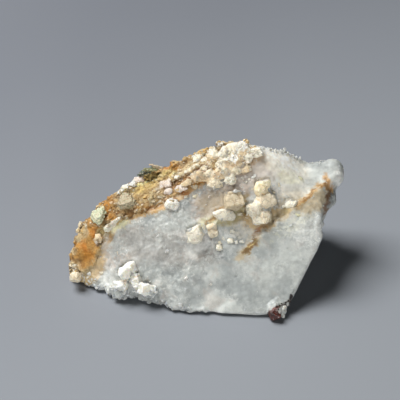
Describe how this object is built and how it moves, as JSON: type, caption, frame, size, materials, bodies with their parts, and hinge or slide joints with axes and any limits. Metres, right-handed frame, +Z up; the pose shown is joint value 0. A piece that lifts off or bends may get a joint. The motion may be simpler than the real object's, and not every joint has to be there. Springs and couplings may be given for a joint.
{
  "type": "ruby in matrix",
  "caption": "Wedge-shaped hand specimen of white sugary rock with an iron-stained crust, cream crystals, mica books and a ruby at the lower right corner.",
  "frame": {"origin": "middle of the bottom of the bounding box, on the flat fracture that the stone rests on", "axes": "+Z up, +X along the stone's length to the right of the show face, +Y towards the back"},
  "size_m": [0.0616, 0.0342, 0.0298],
  "materials": {
    "white_rock": "rough",
    "stained_crust": "rough",
    "cream_crystal": "satin",
    "white_crystal": "satin",
    "green_mica": "satin",
    "ruby": "gloss"
  },
  "bodies": {
    "root": {"matrix": "white_rock", "iron_stained_crust": "stained_crust", "ruby_crystal": "ruby", "crest_crystals": "cream_crystal", "cream_cluster": "cream_crystal", "cream_pair": "cream_crystal", "cream_crystal_block": "cream_crystal", "cream_crystal_lens": "cream_crystal", "cream_crystal_round": "cream_crystal", "cream_crystal_far": "cream_crystal", "cream_crystal_edge": "cream_crystal", "cream_crystal_left": "cream_crystal", "cream_crystal_toe": "cream_crystal", "cream_crystal_bead": "cream_crystal", "cream_crystal_cube": "cream_crystal", "white_cluster": "white_crystal", "white_crystal_wing": "white_crystal", "mica_book_left": "green_mica", "mica_book_middle": "green_mica", "mica_book_edge": "green_mica", "mica_book_skyline": "green_mica"}
  },
  "joints": []
}
